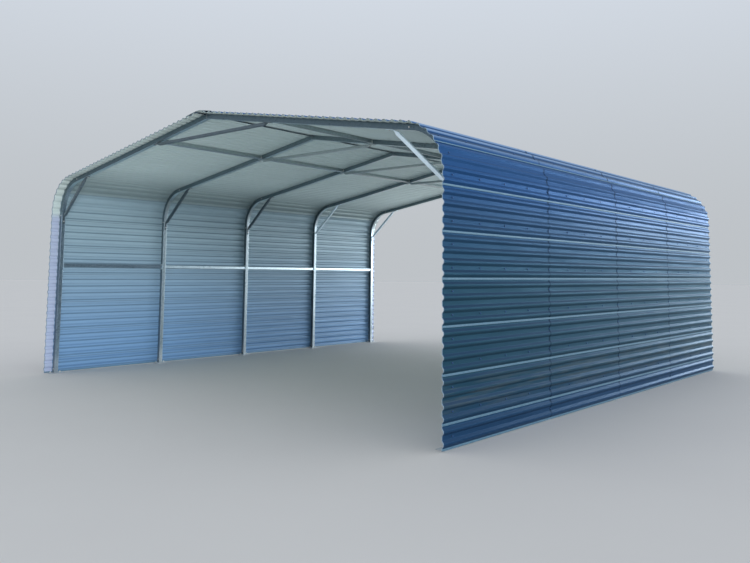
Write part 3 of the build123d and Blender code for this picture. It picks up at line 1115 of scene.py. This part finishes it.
# %% [markdown]
# ## Flat plates
#
# A plate with holes is what a filled curve does best. An outline and two circles in one flat curve
# give the plate and its holes at once, the extrusion gives its thickness, and a small bevel rounds
# the edges as pressing and galvanising do. The curve is turned into plain points and faces, and
# those can be copied wherever a plate is needed.

# %% Cut a plate from an outline and its holes
HOLE_SIDES = 20
PLATE_BEVEL = 0.0006


def add_loop(curve, loop):
    spline = curve.splines.new("POLY")
    spline.points.add(len(loop) - 1)
    for point, (u, v) in zip(spline.points, loop):
        point.co = (u, v, 0, 1)
    spline.use_cyclic_u = True


def circle(across, up, radius):
    return [(across + radius * math.cos(a), up + radius * math.sin(a)) for a in round_angles(HOLE_SIDES)]


def plate(width, height, thickness, corner, holes):
    """Stock for a flat plate centred on the origin, with round holes given as centre and radius."""
    curve = bpy.data.curves.new("plate outline", "CURVE")
    curve.dimensions = "2D"
    curve.fill_mode = "BOTH"
    curve.extrude = thickness / 2 - PLATE_BEVEL
    curve.bevel_depth = PLATE_BEVEL
    curve.bevel_resolution = 1
    curve.offset = -PLATE_BEVEL
    for loop in [rounded_section(width, height, corner)] + [circle(*hole) for hole in holes]:
        add_loop(curve, loop)
    holder = bpy.data.objects.new("plate outline", curve)
    mesh = bpy.data.meshes.new_from_object(holder)
    stock = Stock()
    stock.points = [tuple(vertex.co) for vertex in mesh.vertices]
    stock.faces = [tuple(face.vertices) for face in mesh.polygons]
    stock.finishes = [0] * len(stock.faces)
    bpy.data.objects.remove(holder)
    bpy.data.meshes.remove(mesh)
    bpy.data.curves.remove(curve)
    return stock


print("a hole has", HOLE_SIDES, "sides")

# %% [markdown]
# ## Feet
#
# Each leg slips over a short spigot that is welded to its foot plate. The plate is wider than the
# tube on the inside only, so that the sheets can pass it, and has a hole for an anchor at each end.

# %% Draw the feet of one side
ANCHOR_OFFSET = 0.060
ANCHOR_HOLE = 0.0065
FOOT_WIDTH, FOOT_LENGTH, FOOT_CORNER = 0.090, 0.170, 0.007
FOOT_INSET = (FOOT_WIDTH - TUBE) / 2
SPIGOT_HEIGHT = 0.080
foot_holes = [(FOOT_INSET, end * ANCHOR_OFFSET, ANCHOR_HOLE) for end in (-1, 1)]
foot_plate = plate(FOOT_WIDTH, FOOT_LENGTH, FOOT_TOP, FOOT_CORNER, foot_holes)


def feet():
    stock = Stock()
    for y in HOOPS:
        stock.add(foot_plate, Matrix.Translation((HALF_SPAN - FOOT_INSET, y, FOOT_TOP / 2)))
        foot = Vector((HALF_SPAN, y, FOOT_TOP))
        top = foot + UP * SPIGOT_HEIGHT
        stock.bar([ring(spigot_section, foot, ALONG, ACROSS), ring(spigot_section, top, ALONG, ACROSS)])
    return stock


print("faces in one foot plate", len(foot_plate.faces))

# %% [markdown]
# ## Rails
#
# The rails run from hoop to hoop, level with the hoops' outer faces, so that a sheet can lie on
# both. A clip plate on each rail end takes the bolts. A rail on the wall and one on the roof differ
# only in where their outer face lies and which way it looks, so one function draws both. On the
# walls the rail of the front bay gets a darker finish of its own, as painted shade.

# %% Draw a line of rails
RAIL = 0.040
RAIL_CORNER = 0.0035
CLIP_LENGTH, CLIP_DEPTH, CLIP_THICKNESS, CLIP_CORNER = 0.070, 0.046, 0.004, 0.004
CLIP_BOLT = 0.0275
CLIP_HOLE = 0.0045
PURLIN_ACROSS = 0.920
GIRT_HEIGHT = sum(corner.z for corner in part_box("wall_girt_right")) / 2
PURLIN_REACH = PURLIN_ACROSS / math.cos(PITCH)
clip_holes = [(side * CLIP_BOLT, 0, CLIP_HOLE) for side in SIDES]
clip_plate = plate(CLIP_LENGTH, CLIP_DEPTH, CLIP_THICKNESS, CLIP_CORNER, clip_holes)
girt_face = (Vector((WALL_FACE, 0, GIRT_HEIGHT)), ACROSS)
purlin_face = (slope_point(PURLIN_REACH, HALF_TUBE, 0), OFF_SLOPE)
rail_section = rounded_section(RAIL, RAIL, RAIL_CORNER)


def rails(face, front_shade_finish=0):
    """One rail in each bay, with a clip plate on both ends. The face is a place and a direction."""
    place, out = face
    across = ALONG.cross(out)
    turn = Matrix((across, out, -ALONG)).transposed().to_4x4()
    stock = Stock()
    for front, back in zip(HOOPS, HOOPS[1:]):
        ends = (front + HALF_TUBE, back - HALF_TUBE)
        middle = place - out * (RAIL / 2)
        tube_ends = (ends[0] + CLIP_THICKNESS, ends[1] - CLIP_THICKNESS)
        # The front bay's rail takes the front finish, which on the walls is painted shade.
        finish = front_shade_finish if front == HOOPS[0] else 0
        stock.bar([ring(rail_section, middle + ALONG * y, across, out) for y in tube_ends], finish)
        for y, inward in zip(ends, (1, -1)):
            centre = place - out * (CLIP_DEPTH / 2) + ALONG * (y + inward * CLIP_THICKNESS / 2)
            stock.add(clip_plate, Matrix.Translation(centre) @ turn)
    return stock


print("girt height", round(GIRT_HEIGHT, 3), "purlin reach", round(PURLIN_REACH, 3))

# %% Make the feet and the rails
for side in SIDES:
    name = SIDE_NAMES[side]
    make_piece(feet(), f"foot_plates_{name}_steel", [plate_zinc], side, [f"foot_plates_{name}"])
    girt, purlin = f"wall_girt_{name}", f"roof_purlin_{name}"
    make_piece(rails(girt_face, 1), f"{girt}_rails", [rail_zinc, shaded_front_zinc], side, [girt])
    make_piece(rails(purlin_face), f"{purlin}_rails", [tie_zinc], side, [purlin])

# %% [markdown]
# ## Corrugated sheets
#
# The cladding is many sheets, each one bay long and four ribs wide. Each laps over the sheet below
# it by one rib, so that rain runs off, and its lower edge is rolled over to stiffen it. The roll
# shows as a thin pale line along every fourth rib, its paler tone partly painted highlight. The
# section is drawn in run and rise, with straight folds rounded off by arcs, so that one line serves
# the wall, the bend and the roof.

# %% Draw the ribs of one sheet
RIB_CREST = 0.016
RIB_VALLEY = 0.032
RIB_RISE = 0.0140
FOLD_RADIUS = 0.008
ROLL_RADIUS = 0.0022
ROLL_TURN = math.radians(260)
ROLL_STEPS = 6
RIB_SLOPE = (RIB_PITCH - RIB_CREST - RIB_VALLEY) / 2


def rounded_fold(before, fold, after):
    """Three points round a fold, on an arc that touches both of its sides."""
    into, out_of = (fold - before).normalized(), (after - fold).normalized()
    half_turn = into.angle(out_of) / 2
    reach = FOLD_RADIUS * math.tan(half_turn)
    bulge = FOLD_RADIUS * (1 / math.cos(half_turn) - 1)
    return [fold - into * reach, fold + (out_of - into).normalized() * bulge, fold + out_of * reach]


def rib_line(rib_count):
    """Run and rise over some ribs, starting with the rolled edge."""
    folds = [Vector((0, 0))]
    for rib in range(rib_count):
        start = rib * RIB_PITCH + RIB_VALLEY / 2
        folds += [Vector((start, 0)), Vector((start + RIB_SLOPE, RIB_RISE))]
        folds += [Vector((start + RIB_SLOPE + RIB_CREST, RIB_RISE))]
        folds += [Vector((start + 2 * RIB_SLOPE + RIB_CREST, 0))]
    folds.append(Vector((rib_count * RIB_PITCH, 0)))
    line = []
    for step in range(ROLL_STEPS, 0, -1):
        turned_by = ROLL_TURN * step / ROLL_STEPS
        line.append(Vector((-math.sin(turned_by), 1 - math.cos(turned_by))) * ROLL_RADIUS)
    line.append(folds[0])
    for before, fold, after in zip(folds, folds[1:], folds[2:]):
        line += rounded_fold(before, fold, after)
    line.append(folds[-1])
    return line


print("points over five ribs", len(rib_line(5)))

# %% [markdown]
# ## Laying a sheet
#
# The section is walked round the hoop at a few places along Y, which gives a skin. The skin swells
# a little between the hoops, as thin sheet does. It is lifted by a sheet's thickness at its lower
# edge, over the sheet below, and at its rear end, over the sheet behind. The strips of the rolled
# edge and of the two open ends get paler finishes of their own, and the rolled edge's paler tone is
# partly painted highlight.

# %% Draw one sheet
SHEET_GAUGE = 0.00035
SHEET_SEAT = 0.00005 + SHEET_GAUGE
END_LAP = 0.030
END_STRIP = 0.008
LAP_LIFT = 0.00036
SWELL = 0.0004
SWELL_SLANT = 3
SHEET_ROWS = 7
BLUE, BARE, ROLLED = 0, 3, 6


def sheet_rows(front, back):
    """Places along Y where a sheet has points: both ends, a strip inside each, and between."""
    inner = [front + END_STRIP, back - END_STRIP]
    steps = [inner[0] + (inner[1] - inner[0]) * step / SHEET_ROWS for step in range(SHEET_ROWS + 1)]
    return [front] + steps + [back]


def swell(run, share, phase, waves):
    """How far thin sheet stands off between two hoops, in soft waves up the wall."""
    wave = 0.5 + 0.5 * math.sin(phase + waves * run + SWELL_SLANT * share)
    return math.sin(math.pi * share) ** 2 * SWELL * wave


def add_sheet(stock, first_rib, rib_count, bay, phase, waves):
    """One sheet, lapped over the sheet below and under the sheet in front."""
    is_first, is_last = bay == 0, bay == len(HOOPS) - 2
    front = FRONT if is_first else HOOPS[bay] - END_LAP
    back = BACK if is_last else HOOPS[bay + 1] + END_LAP
    foot = GROUND_GAP + first_rib * RIB_PITCH
    rings = []
    for y in sheet_rows(front, back):
        share = (y - front) / (back - front)
        points = []
        for run, rise in rib_line(rib_count):
            lift = LAP_LIFT * (1 - run / (rib_count * RIB_PITCH)) + LAP_LIFT * share
            stand_off = SHEET_SEAT + lift + rise + swell(foot + run, share, phase, waves)
            across, height = on_hoop(foot + run, stand_off)
            points.append((across, y, height))
        rings.append(points)
    last_row = len(rings) - 2

    def choose(row, strip):
        at_end = (is_first and row == 0) or (is_last and row == last_row)
        return BARE if at_end else ROLLED if strip <= ROLL_STEPS else BLUE

    stock.skin(rings, choose, closed=False)


print("rows of points along a sheet", len(sheet_rows(FRONT, BACK)))

# %% [markdown]
# ## Cladding the carport
#
# The first sheet starts at the ground with two ribs and the lap, and the rest follow every four
# ribs up to the ridge. They are gathered as three zones, the wall, the eave and the roof, because
# the CAD has a node for each. The Solidify modifier counts on from a skin's finish for the inner
# face and the rim, so the list holds three finishes for each kind of strip.

# %% Make the sheets of both sides
TOP_RIB = 61
SHEET_STARTS = [0] + list(range(RIBS_WIDE // 2, TOP_RIB, RIBS_WIDE))
SHEET_TOPS = [start + 1 for start in SHEET_STARTS[1:]] + [TOP_RIB]
ZONES = {"wall": range(0, 22), "eave": range(22, 30), "roof": range(30, TOP_RIB)}
WAVES_UP_WALL = (4.0, 10.0)
SWELL_SEED = 7
coats = [outer_coat, backing, bare_edge] + [bare_edge] * 3 + [rolled_edge_highlight] * 3

dice = random.Random(SWELL_SEED)
for side in SIDES:
    swells = [(dice.uniform(0, 2 * math.pi), dice.uniform(*WAVES_UP_WALL)) for _ in HOOPS[1:]]
    for zone, ribs in ZONES.items():
        sheets = Stock()
        for first_rib, top_rib in zip(SHEET_STARTS, SHEET_TOPS):
            if first_rib in ribs:
                for bay, (phase, waves) in enumerate(swells):
                    add_sheet(sheets, first_rib, top_rib - first_rib, bay, phase, waves)
        node = f"{zone}_cladding_{SIDE_NAMES[side]}"
        make_piece(sheets, f"{node}_sheets", coats, side, [node], False, SHEET_GAUGE)
        print(node, "faces", len(sheets.faces))

# %% [markdown]
# ## Ridge flashing
#
# Where the two roof sheets meet, a folded strip keeps the rain out. It lies on the ribs and its
# edges turn down beside them. The section is a short line with a few folds, carried from front to
# back in two lengths that lap in the middle.

# %% Make the ridge flashing
CAP_RIBS = 2
CAP_GAUGE = 0.0008
CAP_HEM = 0.009
CAP_LAP = 0.05
CAP_ROWS = 6
CAP_TOP = cad_box[1].z - 0.0001
HEM_LIP = 0.004
HEM_ROUNDING = 0.0012
CREASE, CREASE_DROP = 0.012, 0.0004
CREASE_SIDE = 0.030
CAP_REACH = BOW_REACH + ARC_END - GROUND_GAP - (TOP_RIB - CAP_RIBS) * RIB_PITCH
cap_rise = (CAP_TOP - RIDGE) * math.cos(PITCH)


def cap_line(drop):
    """X and Z across the flashing, from its right edge to its left, a drop below its top face."""
    top = cap_rise - drop
    right = [
        on_slope(CAP_REACH - HEM_LIP, top - CAP_HEM),
        on_slope(CAP_REACH - CAP_GAUGE, top - CAP_HEM),
        on_slope(CAP_REACH - CAP_GAUGE / 2, top - HEM_ROUNDING),
        on_slope(CAP_REACH - HEM_ROUNDING * 1.5, top),
        on_slope(CREASE_SIDE, top),
        on_slope(CREASE, top - CREASE_DROP),
    ]
    return right + [(-across, height) for across, height in reversed(right)]


def cap_length(front, back, drop):
    stock = Stock()
    rows = [front + (back - front) * step / CAP_ROWS for step in range(CAP_ROWS + 1)]
    stock.skin([[(x, y, z) for x, z in cap_line(drop)] for y in rows], 0, False)
    return stock


cap = cap_length(FRONT, CAP_LAP, 0)
cap.add(cap_length(-CAP_LAP, BACK, CAP_GAUGE * 1.1), Matrix.Identity(4))
cap_coats = [flashing_coat, backing, bare_edge]
make_piece(cap, "ridge_flashing", cap_coats, 1, ["ridge_cap"], False, CAP_GAUGE)
print("flashing reach each side", round(CAP_REACH, 3))

# %% [markdown]
# ## Screws and bolts
#
# Fixings give the eye its scale. Each kind is a stack of small turned shapes: a rubber or steel
# washer, a head with six sides, and on a nut or an anchor the end of its thread. Turning an outline
# about an axis makes all of them. A head or a washer has a straight side and then a smaller top, as
# shares of its height and radius. One of each kind is made here, to be copied to its places.

# %% Turn one of each fixing
HEX = 6
ROUND = 14
HEAD_SIDE, HEAD_TOP = 0.8, 0.85
WASHER_SIDE, WASHER_TOP = 0.6, 0.9
STEM_RADIUS, STEM_FROM, STEM_TIP = 0.004, 0.007, 0.0005
NUT_STEM = 0.004
THREAD_RADII = (0.0052, 0.0058)
THREAD_FROM, THREAD_STEP, THREAD_POINTS = 0.012, 0.0009, 11


def hex_head(stock, radius, height, base):
    shape = [(radius, base), (radius, base + height * HEAD_SIDE), (radius * HEAD_TOP, base + height)]
    stock.bar(turned(shape, HEX))


def washer(stock, radius, thickness, base=0.0, finish=0):
    """A washer on a base, and the height of its top."""
    top = base + thickness
    shape = [(radius, base), (radius, base + thickness * WASHER_SIDE), (radius * WASHER_TOP, top)]
    stock.bar(turned(shape, ROUND), finish)
    return top


def sheet_screw():
    """A screw with a flanged head, on a washer of rubber."""
    stock = Stock()
    rubber = washer(stock, radius=0.0072, thickness=0.0018, finish=1)
    flange = washer(stock, radius=0.0060, thickness=0.0010, base=rubber)
    hex_head(stock, radius=0.0046, height=0.0042, base=flange)
    return stock


def joint_bolt(stem):
    """A bolt head on its washer, with a stem that shows a nut and thread if it is given."""
    stock = Stock()
    hex_head(stock, radius=0.0074, height=0.0055, base=washer(stock, radius=0.0085, thickness=0.0016))
    if stem:
        top = STEM_FROM + stem
        shape = [(STEM_RADIUS, STEM_FROM), (STEM_RADIUS, top), (STEM_RADIUS * HEAD_TOP, top + STEM_TIP)]
        stock.bar(turned(shape, ROUND))
    return stock


def anchor():
    """A nut on a washer, with a threaded stud standing out of it."""
    stock = Stock()
    hex_head(stock, radius=0.0105, height=0.0095, base=washer(stock, radius=0.0120, thickness=0.0025))
    thread = [(THREAD_RADII[step % 2], THREAD_FROM + THREAD_STEP * step) for step in range(THREAD_POINTS)]
    stock.bar(turned(thread, ROUND))
    return stock


SCREW, BOLT, NUT, ANCHOR = sheet_screw(), joint_bolt(0), joint_bolt(NUT_STEM), anchor()
print("faces in one screw", len(SCREW.faces))

# %% [markdown]
# ## Screws in the sheets
#
# Self-drilling screws hold the sheets to every hoop, and to each other along the laps, always in
# the valleys between ribs. The flashing has its own row on each slope. A screw stands square to
# the sheet, so its direction comes from the hoop at the same run. The thousands of small faces
# are gathered in one mesh, which Blender handles with ease.

# %% Put the screws in the sheets
SCREW_RIBS = 2
STITCH_STEP = 0.365
CAP_SCREWS = 18
CAP_SCREW_INSET = 0.17
TROUGH = SHEET_SEAT + 2 * LAP_LIFT


def screw_at(stock, rib, y):
    run = GROUND_GAP + rib * RIB_PITCH
    across, height = on_hoop(run, TROUGH)
    stock.add(SCREW, standing((across, y, height), out_of_hoop(run)))


def sheet_screws():
    """Screws into every hoop, and stitches along the laps wherever no hoop is near."""
    stock = Stock()
    for y in HOOPS:
        for rib in range(1, TOP_RIB - 1, SCREW_RIBS):
            screw_at(stock, rib, y)
    for rib in SHEET_STARTS[1:]:
        y = HOOPS[0] + STITCH_STEP
        while y < HOOPS[-1] - STITCH_STEP / 2:
            if min(abs(y - hoop) for hoop in HOOPS) > STITCH_STEP / 2:
                screw_at(stock, rib + 1, y)
            y += STITCH_STEP
    return stock


def cap_screws():
    stock = Stock()
    across, height = on_slope(CAP_REACH - RIB_PITCH / 2, cap_rise)
    for step in range(CAP_SCREWS):
        y = FRONT + CAP_SCREW_INSET + step * (BACK - FRONT - 2 * CAP_SCREW_INSET) / (CAP_SCREWS - 1)
        stock.add(SCREW, standing((across, y, height), OFF_SLOPE))
    return stock


for side in SIDES:
    name = SIDE_NAMES[side]
    screws = sheet_screws()
    make_piece(screws, f"sheet_screws_{name}", [screw_coat, washer_rubber], side)
    make_piece(cap_screws(), f"flashing_screws_{name}", [screw_coat, washer_rubber], side)
    print("screw faces", name, len(screws.faces))

# %% [markdown]
# ## Bolts in the frame
#
# Bolts go right through the tubes at each joint of a hoop, and hold the tabs of the struts and the
# clips of the rails. Two anchors hold each foot. Every place is worked out from the same values
# that shaped the joint, so a bolt stays in its hole when a size changes.

# %% Put the bolts in the frame
JOINT_BOLT_REACH = 0.035
FOOT_BOLT_HEIGHT = 0.045
TAB_BOLT = TAB_LENGTH * 0.6
TAB_FACE = HALF_TUBE + TAB_DEPTH


def through_bolt(stock, place):
    """A bolt through a tube from front to back: its head at the front, its nut behind."""
    stock.add(BOLT, standing(place - ALONG * HALF_TUBE, -ALONG))
    stock.add(NUT, standing(place + ALONG * HALF_TUBE, ALONG))


def hoop_bolts(stock, y):
    """The bolts on the right-hand side of one hoop, and the anchors of its foot."""
    through_bolt(stock, Vector((HALF_SPAN, y, LEG_TOP - JOINT_BOLT_REACH)))
    through_bolt(stock, slope_point(BOW_REACH - JOINT_BOLT_REACH, 0, y))
    through_bolt(stock, Vector((HALF_SPAN, y, FOOT_TOP + FOOT_BOLT_HEIGHT)))
    tab_height = LEG_TOP - BRACE_BELOW_BEND - TAB_BOLT
    stock.add(BOLT, standing((HALF_SPAN - TAB_FACE, y, tab_height), -ACROSS))
    for reach in (BOW_REACH - BRACE_PAST_BEND - TAB_BOLT, TIE_REACH + TAB_BOLT):
        stock.add(BOLT, standing(slope_point(reach, -TAB_FACE, y), -OFF_SLOPE))
    for end in (-1, 1):
        stock.add(ANCHOR, standing((HALF_SPAN, y + end * ANCHOR_OFFSET, FOOT_TOP), UP))


def clip_bolts(stock, place, out):
    """The bolts in both clips of every rail in a line."""
    across = ALONG.cross(out)
    middle = place - out * (CLIP_DEPTH / 2)
    for front, back in zip(HOOPS, HOOPS[1:]):
        for offset in (-CLIP_BOLT, CLIP_BOLT):
            near = middle + across * offset + ALONG * (front + HALF_TUBE + CLIP_THICKNESS)
            far = middle + across * offset + ALONG * (back - HALF_TUBE - CLIP_THICKNESS)
            stock.add(BOLT, standing(near, ALONG))
            stock.add(BOLT, standing(far, -ALONG))


for side in SIDES:
    bolts = Stock()
    for y in HOOPS:
        hoop_bolts(bolts, y)
    for face in (girt_face, purlin_face):
        clip_bolts(bolts, *face)
    make_piece(bolts, f"frame_bolts_{SIDE_NAMES[side]}", [bolt_zinc], side)
    print("bolt faces", SIDE_NAMES[side], len(bolts.faces))

# %% [markdown]
# ## Welds at the ridge
#
# The two arms of a bow are welded where they meet. A weld is a row of small overlapping pools of
# metal, so a thin bead follows the mitre round the tube and swells and shrinks along the way. A
# row of small rings, each of a slightly different size, gives that with very few faces.

# %% Lay a bead round each ridge joint
BEAD = 0.0022
BEAD_SIDES = 6
BEAD_STEP = 0.0035
BEAD_SWELLS = (0.75, 1.1)
BEAD_SPREAD = ACROSS * 1.5


def ridge_bead(stock, y, dice):
    middle = Vector((0, y, RIDGE))
    loop = [middle + ALONG * u + MITRE * v for u, v in tube_section]
    rings = []
    for here, there in zip(loop, loop[1:] + loop[:1]):
        pieces = max(1, round((there - here).length / BEAD_STEP))
        for step in range(pieces):
            centre = here.lerp(there, step / pieces)
            out = (centre - middle).normalized()
            size = BEAD * dice.uniform(*BEAD_SWELLS)
            rings.append([tuple(centre + (BEAD_SPREAD * math.cos(a) + out * math.sin(a)) * size)
                          for a in round_angles(BEAD_SIDES)])
    rings.append(rings[0])
    stock.skin(rings)


beads = Stock()
for y in HOOPS:
    ridge_bead(beads, y, dice)
make_piece(beads, "ridge_welds", [weld_steel])
print("weld faces", len(beads.faces))

# %% [markdown]
# ## Keeping to the CAD box
#
# The finer pieces mustn't make the carport larger than its CAD model.
